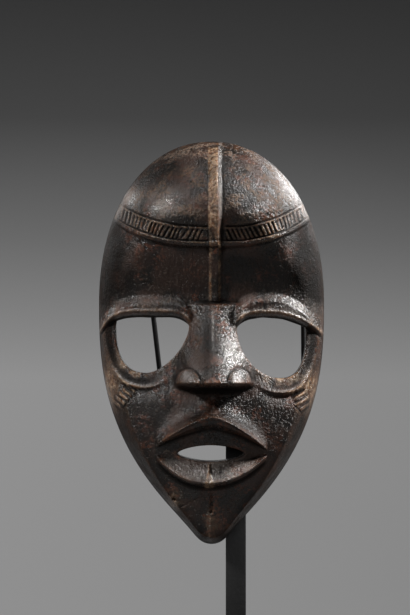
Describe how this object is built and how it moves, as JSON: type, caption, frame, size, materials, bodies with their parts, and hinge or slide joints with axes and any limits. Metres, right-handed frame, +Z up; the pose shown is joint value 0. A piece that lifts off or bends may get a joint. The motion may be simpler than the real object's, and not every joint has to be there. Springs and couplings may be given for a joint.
{
  "type": "carved wooden face mask on a display stand",
  "caption": "Slim oval carved wooden face mask with open eyes and mouth, resting upright on a steel post with a flat foot.",
  "frame": {"origin": "middle of the foot's underside, on the surface that the stand rests on", "axes": "+Z up; the face looks along -Y; +X to the right of someone who looks at the face"},
  "size_m": [0.1365, 0.1031, 0.3235],
  "materials": {
    "carved_wood": "dense dark wood under an old, partly worn brown-black patina",
    "black_steel": "matt black paint on steel bar and rod"
  },
  "bodies": {
    "root": {"mask": "carved_wood", "foot": "black_steel", "post": "black_steel", "cross_rod": "black_steel", "left_arm": "black_steel", "right_arm": "black_steel", "left_pin": "black_steel", "right_pin": "black_steel"}
  },
  "joints": []
}
